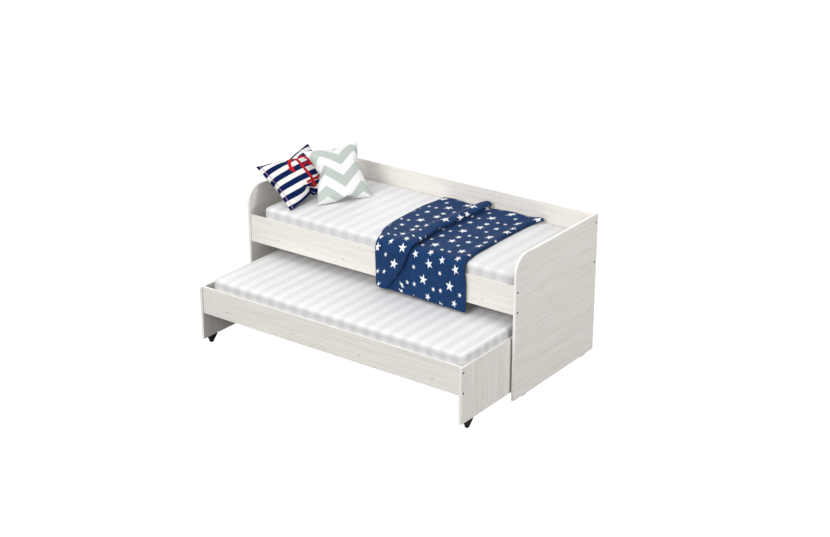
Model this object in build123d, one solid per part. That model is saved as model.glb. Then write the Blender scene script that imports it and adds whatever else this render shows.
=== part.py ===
from build123d import *
import os
from math import cos, radians, sin

# A single bed of coated board with a second bed on casters that rolls out from under it.
# Millimetres. X runs along the bed, +Y to the back panel, +Z up from the floor.
# The origin is on the floor, in the middle of the space taken with the lower bed partly out.

# Boards
board = 16.0
edge_band = 1.0
clear_length = 1900.0
mattress_width = 798.0
mattress_fit = 1.0
rail_recess = 12.0
rail_height = 168.0
base_above_rail_foot = 56.0
base_joint_gap = 1.0

# Upper bed
bed_height = 860.0
corner_radius = 100.0
rail_foot = 516.0
glide_height = 4.0
glide_length = 54.0
glide_width = 14.0
glide_bevel = 4.0
glide_inset = 109.0

# Lower bed
pull_out = 473.0
side_gap = 10.3
lower_rail_foot = 212.0
caster_inset = 71.0

# Screws and nails, drawn with six flats, and the small room round each one in its hole
screw_sides = 6
hole_room = 0.05
end_screw = {"head": 10.0, "head_height": 4.0, "shank": 5.0, "length": 50.0}
base_screw = {"head": 7.0, "head_height": 3.0, "shank": 4.0, "length": 50.0}
wood_screw = {"head": 7.5, "head_height": 3.0, "shank": 4.0, "length": 27.0}
caster_screw = {"head": 6.5, "head_height": 2.0, "shank": 3.5, "length": 25.0}
glide_nail = {"head": 5.0, "head_height": 1.2, "shank": 2.0, "length": 20.0}
nail_sunk = 1.0
nail_spacing = 34.0
cap_sides = 12
cap_diameter = 13.0
cap_height = 1.2
cap_bevel = 0.8
rail_screw_low = 16.0
rail_screw_high = 136.0
back_screw_margin = 50.0
base_screw_inner = 240.0
base_screw_outer = 740.0

# Batten under the joint of the two base boards
batten_width = 80.0
batten_end_room = 1.0
batten_screw_margin = 70.0
batten_screw_rows = 3

# Casters
wheel_diameter = 35.0
wheel_width = 14.0
wheel_side_room = 0.5
wheel_well_room = 2.0
axle_diameter = 5.0
axle_room = 0.05
axle_seat_room = 0.02
axle_head = 8.0
axle_head_height = 1.2
caster_height = 47.6
cheek = 3.0
cheek_radius = 11.0
caster_short_end = 30.0
caster_long_end = 42.0
caster_plate = 3.5
caster_screw_margin = 6.0
caster_screw_sunk = 20.0

# Mattresses
mattress_left_room = 66.4
mattress_thickness = 160.0
mattress_corner = 36.0
mattress_edge = 24.0
mattress_foot_bevel = 12.0
soft_gap = 0.3

# Throw over the upper bed
throw_thickness = 7.0
throw_right = 632.0
throw_off_rail = 9.5
throw_gap = 0.6
throw_foot = 458.0
throw_back_room = 4.0
ridge_width = 104.0
fold_width = 150.0
fold_height = 9.0
fold_left_of_edge = 205.0
bend_steps = 5

# Pillows
striped_width = 450.0
striped_depth = 333.0
striped_thickness = 130.0
striped_lean_degrees = 41.0
striped_turn_degrees = 8.0
striped_roll_degrees = 6.5
striped_from_end = 126.5
striped_from_front = 331.3
chevron_side = 347.0
chevron_thickness = 134.0
chevron_lean_degrees = 59.0
chevron_turn_degrees = 27.0
chevron_past_striped = 138.2
# The pillows touch beside their crowns, where they are thinner by this share
pillow_touch_share = 0.955
pillow_draw_in = 15.0
pillow_side_steps = 6
# Level up the half thickness and the share of the outline that is left there
pillow_levels = ((0, 1), (0.25, 0.93), (0.47, 0.84), (0.67, 0.72), (0.83, 0.57), (0.95, 0.37), (1, 0.16))

# Places that follow from the sizes above
base_depth = mattress_width + 2 * mattress_fit
bed_depth = base_depth + 2 * board + 2 * rail_recess
bed_front = (pull_out - bed_depth) / 2
bed_back = bed_front + bed_depth
lower_front = bed_front - pull_out
inner_x = clear_length / 2
outer_x = inner_x + board
lower_outer_x = inner_x - side_gap
lower_inner_x = lower_outer_x - board
lower_top = lower_rail_foot + rail_height
mattress_right = lower_inner_x - mattress_fit
mattress_left = mattress_left_room - lower_inner_x
mattress_top = rail_foot + base_above_rail_foot + soft_gap + mattress_thickness
wheel_radius = wheel_diameter / 2

nodes = {}


def keep(name, *solids):
    nodes[name] = Compound(label=name, children=list(solids)) if len(solids) > 1 else solids[0]


def block(x0, x1, y0, y1, z0, z1):
    middle = Pos((x0 + x1) / 2, (y0 + y1) / 2, (z0 + z1) / 2)
    return middle * Box(x1 - x0, y1 - y0, z1 - z0)


def aimed(point, direction):
    return Plane(origin=point, z_dir=direction)


# Screws: local Z runs from the head into the wood
def screw(kind, room=0.0):
    head = extrude(RegularPolygon(kind["head"] / 2 + room, screw_sides), kind["head_height"] + room)
    shank = extrude(RegularPolygon(kind["shank"] / 2 + room, screw_sides), kind["length"] + room)
    return head + shank


# The hole for a screw, open behind the head by as much as the head is sunk
def screw_hole(kind, sunk):
    hole = screw(kind, hole_room)
    if sunk:
        hole += extrude(RegularPolygon(kind["head"] / 2 + hole_room, screw_sides), -sunk)
    return hole


def drill(solid, places, kind, sunk=0.0):
    for place in places:
        solid -= place * screw_hole(kind, sunk)
    return solid


def screw_cap():
    cap = extrude(RegularPolygon(cap_diameter / 2, cap_sides), -cap_height)
    return chamfer(cap.faces().sort_by(Axis.Z)[0].edges(), cap_bevel)


# End panels of the upper bed: a rounded upper front corner, banded on three edges
def end_outline(inset):
    front, back, top = bed_front + inset, bed_back - inset, bed_height - inset
    bend_y, bend_z = bed_front + corner_radius, bed_height - corner_radius
    reach = (corner_radius - inset) * sin(radians(45))
    return make_face(
        [
            Line((front, glide_height), (front, bend_z)),
            ThreePointArc((front, bend_z), (bend_y - reach, bend_z + reach), (bend_y, top)),
            Line((bend_y, top), (back, top)),
            Line((back, top), (back, glide_height)),
            Line((back, glide_height), (front, glide_height)),
        ]
    )


def end_slab(x0, inset):
    return extrude(Plane.YZ.offset(x0) * end_outline(inset), board)


def lower_end_slab(x0, inset):
    front, back = lower_front + inset, lower_front + bed_depth - inset
    return block(x0, x0 + board, front, back, caster_height, lower_top - inset)


# Where the screws of one bed go in: both ends of the front and back boards
def end_screw_places(side, face_x, front, foot, back_heights):
    front_y = front + rail_recess + board / 2
    back_y = front + bed_depth - rail_recess - board / 2
    spots = [(front_y, foot + rail_screw_low), (front_y, foot + rail_screw_high)]
    spots += [(back_y, height) for height in back_heights]
    return [aimed((side * face_x, y, z), (-side, 0, 0)) for y, z in spots]


def base_screw_places(front, foot):
    height = foot + base_above_rail_foot - board / 2
    across = [-base_screw_outer, -base_screw_inner, base_screw_inner, base_screw_outer]
    front_face, back_face = front + rail_recess, front + bed_depth - rail_recess
    fronts = [aimed((x, front_face, height), (0, 1, 0)) for x in across]
    backs = [aimed((x, back_face, height), (0, -1, 0)) for x in across]
    return fronts, backs


def batten_screw_places(front, foot):
    underside = foot + base_above_rail_foot - 2 * board
    first = front + rail_recess + board + batten_screw_margin
    step = (base_depth - 2 * batten_screw_margin) / (batten_screw_rows - 1)
    rows = [first + step * row for row in range(batten_screw_rows)]
    return [aimed((side * batten_width / 4, y, underside), (0, 0, 1)) for side in (-1, 1) for y in rows]


# One bed's boards between its end panels, with their bands, screws and batten
def bed_boards(prefix, half, front, foot, back_name, back_top, end_places):
    rail_top = foot + rail_height
    front_face = front + rail_recess
    back_face = front + bed_depth - rail_recess
    front_screws, back_screws = base_screw_places(front, foot)
    uprights = [
        ("front_rail", front_face, rail_top, front_screws),
        (back_name, back_face - board, back_top, back_screws),
    ]
    for name, y0, top, places in uprights:
        core = block(-half, half, y0, y0 + board, foot + edge_band, top - edge_band)
        core = drill(core, end_places, end_screw)
        keep(prefix + name, drill(core, places, base_screw))
        bands = [block(-half, half, y0, y0 + board, z, z + edge_band) for z in (foot, top - edge_band)]
        keep(prefix + name + "_edge_bands", *bands)

    base_top = foot + base_above_rail_foot
    base_front, base_back = front_face + board, back_face - board
    batten_screws = batten_screw_places(front, foot)
    for side, name in ((-1, "left_base_board"), (1, "right_base_board")):
        x0, x1 = sorted((side * base_joint_gap / 2, side * half))
        slab = block(x0, x1, base_front, base_back, base_top - board, base_top)
        slab = drill(slab, front_screws + back_screws, base_screw)
        keep(prefix + name, drill(slab, batten_screws, wood_screw))
    batten = block(
        -batten_width / 2,
        batten_width / 2,
        base_front + batten_end_room,
        base_back - batten_end_room,
        base_top - 2 * board,
        base_top - board,
    )
    keep(prefix + "base_batten", drill(batten, batten_screws, wood_screw))
    keep(prefix + "batten_screws", *[place * screw(wood_screw) for place in batten_screws])
    keep(prefix + "base_screws", *[place * screw(base_screw) for place in front_screws + back_screws])
    keep(prefix + "end_screws", *[place * screw(end_screw) for place in end_places])
    keep(prefix + "end_screw_caps", *[place * screw_cap() for place in end_places])


# Upper bed
back_heights = (rail_foot + back_screw_margin, bed_height - back_screw_margin)
glide_middles = (bed_front + glide_inset, bed_back - glide_inset)
upper_end_places = []
glides = []
nails = []
for side, name in ((-1, "left_end"), (1, "right_end")):
    places = end_screw_places(side, outer_x, bed_front, rail_foot, back_heights)
    upper_end_places += places
    x0 = min(side * inner_x, side * outer_x)
    middle_x = x0 + board / 2
    core = drill(end_slab(x0, edge_band), places, end_screw)
    for y in glide_middles:
        strip = extrude(chamfer(Rectangle(glide_width, glide_length).vertices(), glide_bevel), glide_height)
        strip = Pos(middle_x, y, 0) * strip
        spots = (y - nail_spacing / 2, y + nail_spacing / 2)
        driven = [aimed((middle_x, spot, nail_sunk), (0, 0, 1)) for spot in spots]
        nails += [place * screw(glide_nail) for place in driven]
        glides.append(drill(strip, driven, glide_nail, nail_sunk))
        core = drill(core, driven, glide_nail)
    keep(name + "_panel", core)
    keep(name + "_edge_band", end_slab(x0, 0) - end_slab(x0, edge_band))
keep("floor_glides", *glides)
keep("glide_nails", *nails)
bed_boards("", inner_x, bed_front, rail_foot, "back_panel", bed_height, upper_end_places)


# Casters: the wheel's centre is the local origin, the long end of the hood points along local +Y
wheel_well = wheel_radius + wheel_well_room
well_width = wheel_width + 2 * wheel_side_room
hood_width = well_width + 2 * cheek
hood_top = caster_height - wheel_radius


def lying(solid):
    return Rot(0, 90, 0) * solid


def caster_hood():
    plate = make_face(
        Polyline(
            (-caster_short_end, hood_top),
            (caster_long_end, hood_top),
            (caster_long_end, hood_top - caster_plate),
            (-caster_short_end, hood_top - caster_plate),
            close=True,
        )
    )
    side_view = make_hull(plate.edges() + Circle(cheek_radius).edges())
    hood = extrude(Plane.YZ.offset(-hood_width / 2) * side_view, hood_width)
    hood -= lying(Cylinder(wheel_well, well_width))
    return hood - lying(Cylinder(axle_diameter / 2 + axle_seat_room, hood_width))


def caster_axle():
    pin = Cylinder(axle_diameter / 2, hood_width)
    head = extrude(RegularPolygon(axle_head / 2, cap_sides), axle_head_height)
    return lying(pin + Pos(0, 0, hood_width / 2) * head + Pos(0, 0, -hood_width / 2 - axle_head_height) * head)


def caster_wheel():
    return lying(Cylinder(wheel_radius, wheel_width) - Cylinder(axle_diameter / 2 + axle_room, wheel_width))


# Lower bed
lower_back = lower_front + bed_depth
lower_heights = (lower_rail_foot + rail_screw_low, lower_rail_foot + rail_screw_high)
caster_screw_spots = (caster_screw_margin - caster_short_end, caster_long_end - caster_screw_margin)
caster_rows = (
    (1, "front", lower_front + caster_inset),
    (-1, "rear", lower_back - caster_inset),
)
lower_end_places = []
caster_screws = []
for side, name in ((-1, "left"), (1, "right")):
    places = end_screw_places(side, lower_outer_x, lower_front, lower_rail_foot, lower_heights)
    lower_end_places += places
    x0 = min(side * lower_inner_x, side * lower_outer_x)
    middle_x = x0 + board / 2
    core = drill(lower_end_slab(x0, edge_band), places, end_screw)
    for facing, row, wheel_y in caster_rows:
        spot = Pos(middle_x, wheel_y, wheel_radius)
        turned = spot * Rot(0, 0, 0 if facing > 0 else 180)
        underside = wheel_radius + hood_top - caster_plate
        driven = [aimed((middle_x, wheel_y + facing * y, underside), (0, 0, 1)) for y in caster_screw_spots]
        hood = turned * caster_hood()
        keep(f"{row}_{name}_caster_hood", drill(hood, driven, caster_screw, caster_screw_sunk))
        keep(f"{row}_{name}_caster_axle", spot * caster_axle())
        keep(f"{row}_{name}_caster_wheel", spot * caster_wheel())
        core = drill(core, driven, caster_screw)
        caster_screws += [place * screw(caster_screw) for place in driven]
    keep(f"lower_{name}_end_panel", core)
    keep(f"lower_{name}_end_edge_band", lower_end_slab(x0, 0) - lower_end_slab(x0, edge_band))
keep("caster_screws", *caster_screws)
bed_boards("lower_", lower_inner_x, lower_front, lower_rail_foot, "back_rail", lower_top, lower_end_places)


# Mattresses: foam blocks with round corners and softened edges
def mattress(front, foot):
    y0 = front + rail_recess + board + mattress_fit
    z0 = foot + base_above_rail_foot + soft_gap
    slab = block(mattress_left, mattress_right, y0, y0 + mattress_width, z0, z0 + mattress_thickness)
    slab = fillet(slab.edges().filter_by(Axis.Z), mattress_corner)
    slab = fillet(slab.faces().sort_by(Axis.Z)[-1].edges(), mattress_edge)
    return chamfer(slab.faces().sort_by(Axis.Z)[0].edges(), mattress_foot_bevel)


keep("upper_mattress", mattress(bed_front, rail_foot))
keep("lower_mattress", mattress(lower_front, lower_rail_foot))


# Throw: one band of cloth with a long fold across it and a shallow one beside it.
# It bends about the line that the mattress's softened front edge bends about.
throw_back = bed_back - rail_recess - board - throw_back_room
throw_bend = mattress_edge + mattress_fit + board + throw_off_rail
bend_y = bed_front + rail_recess + board + mattress_fit + mattress_edge
bend_z = mattress_top + throw_gap - throw_bend
# Distance from the back edge, left edge, crest of the long fold and its height
throw_top_stations = (
    (0.0, -82.0, 197.0, 36.0),
    (200.0, -100.0, 186.0, 36.0),
    (360.0, -101.0, 177.0, 35.0),
    (550.0, -58.0, 166.0, 33.0),
)
throw_bend_station = (8.0, 190.0, 28.0)
throw_foot_station = (17.0, 74.0, 13.0)


def throw_section(plane, left, crest, height):
    t = throw_thickness
    fold = throw_right - fold_left_of_edge
    return plane * make_face(
        [
            Line((left, 0), (throw_right, 0)),
            Line((throw_right, 0), (throw_right, t)),
            Line((throw_right, t), (fold + fold_width / 2, t)),
            ThreePointArc((fold + fold_width / 2, t), (fold, t + fold_height), (fold - fold_width / 2, t)),
            Line((fold - fold_width / 2, t), (crest + ridge_width / 2, t)),
            ThreePointArc((crest + ridge_width / 2, t), (crest, t + height), (crest - ridge_width / 2, t)),
            Line((crest - ridge_width / 2, t), (left, t)),
            Line((left, t), (left, 0)),
        ]
    )


def throw_plane(y, z, turn):
    lean = radians(turn)
    return Plane(origin=(0, y, z), x_dir=(1, 0, 0), z_dir=(0, -cos(lean), -sin(lean)))


def throw_cloth():
    flat = mattress_top + throw_gap
    faces = [
        throw_section(throw_plane(throw_back - along, flat, 0), left, crest, height)
        for along, left, crest, height in throw_top_stations
    ]
    for step in range(bend_steps + 1):
        turn = 90 * step / bend_steps
        y = bend_y - throw_bend * sin(radians(turn))
        z = bend_z + throw_bend * cos(radians(turn))
        faces.append(throw_section(throw_plane(y, z, turn), *throw_bend_station))
    foot_plane = throw_plane(bend_y - throw_bend, throw_foot, 90)
    faces.append(throw_section(foot_plane, *throw_foot_station))
    return loft(faces, ruled=True)


keep("throw", throw_cloth())


# Pillows: crowned on both faces, with the sides drawn in between the corners
def pillow(width, depth, thickness):
    x, y, bow, rise = width / 2, depth / 2, -pillow_draw_in, thickness / 2
    steps = [2 * step / pillow_side_steps - 1 for step in range(pillow_side_steps)]
    outline = [(x * t, -y - bow * (1 - t * t)) for t in steps]
    outline += [(x + bow * (1 - t * t), y * t) for t in steps]
    outline += [(-x * t, y + bow * (1 - t * t)) for t in steps]
    outline += [(-x - bow * (1 - t * t), -y * t) for t in steps]
    levels = [(-up, share) for up, share in reversed(pillow_levels[1:])] + list(pillow_levels)
    rings = [[(px * share, py * share, rise * up) for px, py in outline] for up, share in levels]
    panels = [rings[0], rings[-1]]
    for ring, above in zip(rings, rings[1:]):
        sides = zip(ring, ring[1:] + ring[:1], above[1:] + above[:1], above)
        panels += [list(corners) for corners in sides]
    return Solid(Shell([Face(Wire.make_polygon(corners)) for corners in panels]))


# A leaning pillow: face turned up by the lean, then turned about the upright
def leaned(solid, lean, turn, roll):
    return Rot(0, 0, 90 - turn) * Rot(lean, 0, 0) * Rot(0, 0, roll) * solid


def seated(solid, x, y):
    drop = mattress_top + soft_gap - solid.bounding_box().min.Z
    return Pos(x, y, drop) * solid


striped = pillow(striped_width, striped_depth, striped_thickness)
striped = leaned(striped, striped_lean_degrees, striped_turn_degrees, striped_roll_degrees)
striped_x = striped_from_end - inner_x
striped_y = bed_front + striped_from_front
striped = seated(striped, striped_x, striped_y)
chevron = pillow(chevron_side, chevron_side, chevron_thickness)
chevron = leaned(chevron, chevron_lean_degrees, chevron_turn_degrees, 0)
lean_apart = (striped_thickness + chevron_thickness) / 2 * pillow_touch_share
chevron_x = striped_x + lean_apart / sin(radians(striped_lean_degrees))
chevron_y = striped_y + chevron_past_striped
chevron = seated(chevron, chevron_x, chevron_y)
keep("striped_pillow", striped)
keep("chevron_pillow", chevron)

os.makedirs("parts", exist_ok=True)
for name, solid in nodes.items():
    export_step(solid, f"parts/{name}.step")
print(len(nodes), "nodes written")
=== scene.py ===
import math
import bmesh
import bpy
from mathutils import Matrix, Vector, noise
from mathutils.bvhtree import BVHTree


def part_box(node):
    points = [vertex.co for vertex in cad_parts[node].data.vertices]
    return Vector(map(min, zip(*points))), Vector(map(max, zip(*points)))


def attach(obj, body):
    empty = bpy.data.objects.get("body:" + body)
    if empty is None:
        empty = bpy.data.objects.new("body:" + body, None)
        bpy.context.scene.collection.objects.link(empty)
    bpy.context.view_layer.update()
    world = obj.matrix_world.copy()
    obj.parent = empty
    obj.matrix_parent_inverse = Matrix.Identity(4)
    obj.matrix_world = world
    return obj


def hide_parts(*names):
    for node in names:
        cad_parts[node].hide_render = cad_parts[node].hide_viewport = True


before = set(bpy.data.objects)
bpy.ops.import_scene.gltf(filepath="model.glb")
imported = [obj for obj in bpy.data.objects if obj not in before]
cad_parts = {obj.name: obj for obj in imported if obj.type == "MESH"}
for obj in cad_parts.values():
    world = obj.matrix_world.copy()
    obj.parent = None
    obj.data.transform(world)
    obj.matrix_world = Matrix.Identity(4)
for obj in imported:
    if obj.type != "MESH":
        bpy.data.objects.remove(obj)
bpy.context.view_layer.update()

scene = bpy.context.scene


# short hands for building materials
def startMaterial(name, roughness, **sockets):
    material = bpy.data.materials.new(name)
    material.use_nodes = True
    tree = material.node_tree
    shader = tree.nodes["Principled BSDF"]
    shader.inputs["Roughness"].default_value = roughness
    for socket, value in sockets.items():
        shader.inputs[socket].default_value = value
    return material, tree, shader


def addNode(tree, kind, inputs=None, **settings):
    made = tree.nodes.new(kind)
    for key, value in settings.items():
        setattr(made, key, value)
    for socket, value in (inputs or {}).items():
        if isinstance(value, bpy.types.NodeSocket):
            tree.links.new(value, made.inputs[socket])
        else:
            made.inputs[socket].default_value = value
    return made


def calc(tree, operation, first, second=None):
    inputs = {0: first} if second is None else {0: first, 1: second}
    return addNode(tree, "ShaderNodeMath", inputs, operation=operation).outputs[0]


def gapFrom(tree, value, place):
    return calc(tree, "ABSOLUTE", calc(tree, "SUBTRACT", value, place))


def reachOf(tree, x, y):
    return calc(tree, "SQRT", calc(tree, "ADD", calc(tree, "MULTIPLY", x, x), calc(tree, "MULTIPLY", y, y)))


def rampBetween(tree, value, low, high, start=0.0, end=1.0):
    inputs = {"Value": value, "From Min": low, "From Max": high, "To Min": start, "To Max": end}
    return addNode(tree, "ShaderNodeMapRange", inputs, interpolation_type="SMOOTHSTEP").outputs[0]


def mixColours(tree, factor, first, second):
    made = addNode(tree, "ShaderNodeMix", {0: factor}, data_type="RGBA")
    for index, colour in ((6, first), (7, second)):
        if isinstance(colour, bpy.types.NodeSocket):
            tree.links.new(colour, made.inputs[index])
        else:
            made.inputs[index].default_value = (*colour, 1.0)
    return made.outputs[2]


def noiseField(tree, vector, size, detail=2.0, rough=0.5, warp=0.0):
    place = addNode(tree, "ShaderNodeMapping", {"Vector": vector, "Scale": size}).outputs[0]
    inputs = {"Vector": place, "Scale": 1.0, "Detail": detail, "Roughness": rough, "Distortion": warp}
    return addNode(tree, "ShaderNodeTexNoise", inputs).outputs["Fac"]


def addBump(tree, shader, height, strength, distance):
    inputs = {"Height": height, "Strength": strength, "Distance": distance}
    bump = addNode(tree, "ShaderNodeBump", inputs)
    tree.links.new(bump.outputs[0], shader.inputs["Normal"])


def weave(tree, along, across, threads):
    warp = calc(tree, "SINE", calc(tree, "MULTIPLY", along, threads))
    weft = calc(tree, "SINE", calc(tree, "MULTIPLY", across, threads))
    return calc(tree, "MULTIPLY", warp, weft)


def objectSpace(tree):
    return addNode(tree, "ShaderNodeTexCoord").outputs["Object"]


def flatSpace(tree):
    return addNode(tree, "ShaderNodeUVMap", uv_map="flat").outputs["UV"]


def splitFlat(tree):
    parts = addNode(tree, "ShaderNodeSeparateXYZ", {0: flatSpace(tree)})
    return parts.outputs[0], parts.outputs[1]


# camera at the photo's place, all lengths in metres
photoView = {
    "place": (5.3655, -7.0858, 4.1524),
    "aim": (-0.54857, 0.74488, -0.37978),
    "roll": -0.10,  # degrees
    "lens": 71.25,
    "sensor": 36.0,
}


def setCamera(spec):
    lens = bpy.data.cameras.new("photoCamera")
    lens.lens, lens.sensor_width, lens.sensor_fit = spec["lens"], spec["sensor"], "HORIZONTAL"
    lens.clip_end = 100.0
    camera = bpy.data.objects.new("photoCamera", lens)
    turn = Vector(spec["aim"]).to_track_quat("-Z", "Y").to_matrix().to_4x4()
    roll = Matrix.Rotation(math.radians(spec["roll"]), 4, "Z")
    camera.matrix_world = Matrix.Translation(spec["place"]) @ turn @ roll
    scene.collection.objects.link(camera)
    scene.camera = camera


# cut-out daylight: a pale dome, a wide key from the front, lamps overhead and at the right, a weak fill
# from behind and a dull floor; the camera sees the dome and the floor as white
studio = {
    "dome": 0.72,
    "lamps": {
        "keyLight": {"place": (0.8, -9.5, 5.6), "aim": (0.0, 0.0, 0.4), "power": 725.0, "size": 5.0},
        "topLight": {"place": (-1.2, -2.0, 5.0), "aim": (0.0, -0.2, 0.4), "power": 55.0, "size": 3.0},
        "sideLight": {"place": (7.0, 0.8, 1.7), "aim": (0.0, 0.0, 0.4), "power": 180.0, "size": 1.5},
        "fillLight": {"place": (-5.0, 6.5, 4.5), "aim": (0.0, 0.0, 0.4), "power": 150.0, "size": 5.0},
    },
    "floorSize": 60.0,
    "floorBounce": (0.14, 0.14, 0.14, 1.0),
    "floorGlow": 0.965,
}


def areaLight(name, spec):
    lamp = bpy.data.lights.new(name, "AREA")
    lamp.energy, lamp.size, lamp.shape = spec["power"], spec["size"], "SQUARE"
    light = bpy.data.objects.new(name, lamp)
    place = Vector(spec["place"])
    turn = (Vector(spec["aim"]) - place).to_track_quat("-Z", "Y").to_matrix().to_4x4()
    light.matrix_world = Matrix.Translation(place) @ turn
    scene.collection.objects.link(light)


def setStudio(spec):
    scene.view_settings.view_transform = "Standard"
    scene.view_settings.look = "None"
    world = bpy.data.worlds.new("paleDome")
    world.use_nodes = True
    sky = world.node_tree
    dome = sky.nodes["Background"]
    dome.inputs["Color"].default_value = (1.0, 1.0, 1.0, 1.0)
    seen = addNode(sky, "ShaderNodeLightPath").outputs["Is Camera Ray"]
    level = calc(sky, "MAXIMUM", seen, spec["dome"])  # 1 to the camera
    sky.links.new(level, dome.inputs["Strength"])
    scene.world = world
    for name, lamp in spec["lamps"].items():
        areaLight(name, lamp)
    bm = bmesh.new()
    bmesh.ops.create_grid(bm, x_segments=1, y_segments=1, size=spec["floorSize"] / 2)
    mesh = bpy.data.meshes.new("paleFloor")
    bm.to_mesh(mesh)
    bm.free()
    floor = bpy.data.objects.new("paleFloor", mesh)
    material, tree, shader = startMaterial("paleFloor", 1.0, **{
        "Base Color": spec["floorBounce"], "Specular IOR Level": 0.0, "Emission Color": (1.0, 1.0, 1.0, 1.0),
    })
    seen = addNode(tree, "ShaderNodeLightPath").outputs["Is Camera Ray"]
    glow = calc(tree, "MULTIPLY", seen, spec["floorGlow"])
    tree.links.new(glow, shader.inputs["Emission Strength"])
    mesh.materials.append(material)
    scene.collection.objects.link(floor)


setCamera(photoView)
setStudio(studio)
print("camera and studio set")


# pale limed ash board, one material for each direction of the grain
ashBoard = {
    "light": (0.735, 0.705, 0.665),
    "middle": (0.640, 0.610, 0.570),
    "pore": (0.44, 0.415, 0.385),
    "roughness": 0.52,
    "streaks": (2.6, 120.0),  # repeats a metre along and across the grain
    "bands": (0.8, 16.0),
    "pores": (14.0, 520.0),
}


def grainScale(pair, axis):
    return tuple(pair[0] if index == axis else pair[1] for index in range(3))


def makeAshBoard(name, axis, spec):
    material, tree, shader = startMaterial(name, spec["roughness"])
    space = objectSpace(tree)
    bands = noiseField(tree, space, grainScale(spec["bands"], axis), 2.0, 0.5, 0.4)
    streaks = noiseField(tree, space, grainScale(spec["streaks"], axis), 5.0, 0.62, 0.5)
    pores = noiseField(tree, space, grainScale(spec["pores"], axis), 2.0, 0.5)
    shade = calc(tree, "ADD", calc(tree, "MULTIPLY", streaks, 0.75), calc(tree, "MULTIPLY", bands, 0.25))
    colour = mixColours(tree, rampBetween(tree, shade, 0.38, 0.68), spec["light"], spec["middle"])
    poreMask = rampBetween(tree, pores, 0.56, 0.74)
    poreMask = calc(tree, "MULTIPLY", poreMask, rampBetween(tree, shade, 0.36, 0.62, 0.12, 0.6))
    colour = mixColours(tree, poreMask, colour, spec["pore"])
    tree.links.new(colour, shader.inputs["Base Color"])
    tree.links.new(rampBetween(tree, streaks, 0.2, 0.8, 0.44, 0.60), shader.inputs["Roughness"])
    addBump(tree, shader, calc(tree, "SUBTRACT", shade, poreMask), 0.12, 0.0006)
    return material


# thin plastic edging, a touch lighter than the boards
edgeBand = {"light": (0.785, 0.768, 0.735), "dark": (0.73, 0.713, 0.678), "roughness": 0.42}


def makeEdgeBand(name, spec):
    material, tree, shader = startMaterial(name, spec["roughness"])
    space = objectSpace(tree)
    mottle = noiseField(tree, space, (14.0, 14.0, 14.0), 4.0, 0.6)
    fine = noiseField(tree, space, (260.0, 260.0, 260.0), 2.0, 0.5)
    colour = mixColours(tree, rampBetween(tree, mottle, 0.3, 0.7), spec["light"], spec["dark"])
    tree.links.new(colour, shader.inputs["Base Color"])
    tree.links.new(rampBetween(tree, fine, 0.2, 0.8, 0.36, 0.48), shader.inputs["Roughness"])
    addBump(tree, shader, fine, 0.05, 0.0004)
    return material


# moulded plastics and plated steel: colour, gloss and the fine grain of the surface
hardFinishes = {
    "capPlastic": {
        "colour": (0.010, 0.010, 0.011), "spread": 0.25, "gloss": (0.42, 0.58), "grain": 900.0, "shine": 0.2,
    },
    "casterPlastic": {"colour": (0.014, 0.014, 0.015), "spread": 0.35, "gloss": (0.34, 0.52), "grain": 700.0},
    "wheelNylon": {"colour": (0.010, 0.010, 0.011), "spread": 0.40, "gloss": (0.30, 0.46), "grain": 500.0},
    "glidePlastic": {
        "colour": (0.004, 0.004, 0.004), "spread": 0.30, "gloss": (0.60, 0.75), "grain": 600.0, "shine": 0.1,
    },
    "platedSteel": {
        "colour": (0.10, 0.10, 0.105), "spread": 0.30, "gloss": (0.28, 0.45), "grain": 1200.0, "metal": 0.9,
    },
    "blackSteel": {
        "colour": (0.004, 0.004, 0.004), "spread": 0.30, "gloss": (0.50, 0.65), "grain": 1200.0, "shine": 0.1,
    },
    "battenBoard": {"colour": (0.56, 0.50, 0.42), "spread": 0.20, "gloss": (0.60, 0.75), "grain": 160.0},
}


def makeHardFinish(name, spec):
    sockets = {"Metallic": spec.get("metal", 0.0), "Specular IOR Level": spec.get("shine", 0.5)}
    material, tree, shader = startMaterial(name, spec["gloss"][0], **sockets)
    space = objectSpace(tree)
    grain = noiseField(tree, space, (spec["grain"],) * 3, 3.0, 0.55)
    wear = noiseField(tree, space, (35.0, 35.0, 35.0), 3.0, 0.6)
    darker = tuple(part * (1 - spec["spread"]) for part in spec["colour"])
    colour = mixColours(tree, rampBetween(tree, wear, 0.3, 0.7), spec["colour"], darker)
    tree.links.new(colour, shader.inputs["Base Color"])
    tree.links.new(rampBetween(tree, grain, 0.25, 0.75, *spec["gloss"]), shader.inputs["Roughness"])
    addBump(tree, shader, grain, 0.08, 0.0002)
    return material


def dressNodes(material, names):
    for name in names:
        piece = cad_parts[name]
        piece.data.materials.clear()
        piece.data.materials.append(material)


def namesWith(*words):
    return [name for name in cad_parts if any(word in name for word in words)]


ashAlongX = makeAshBoard("ashAlongX", 0, ashBoard)
ashAlongY = makeAshBoard("ashAlongY", 1, ashBoard)
ashUpright = makeAshBoard("ashUpright", 2, ashBoard)
dressNodes(ashAlongX, namesWith("rail", "back_panel", "base_board"))
dressNodes(ashAlongY, ["left_end_panel", "right_end_panel"])
dressNodes(ashUpright, ["lower_left_end_panel", "lower_right_end_panel"])
dressNodes(makeEdgeBand("paleEdgeBand", edgeBand), namesWith("edge_band"))
hard = {name: makeHardFinish(name, spec) for name, spec in hardFinishes.items()}
dressNodes(hard["battenBoard"], ["base_batten", "lower_base_batten"])
dressNodes(hard["platedSteel"], namesWith("screws", "nails", "axle"))
dressNodes(hard["capPlastic"], namesWith("screw_caps"))
dressNodes(hard["casterPlastic"], namesWith("caster_hood"))
dressNodes(hard["wheelNylon"], namesWith("caster_wheel"))
dressNodes(hard["glidePlastic"], ["floor_glides"])
print("boards and fittings dressed")


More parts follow.
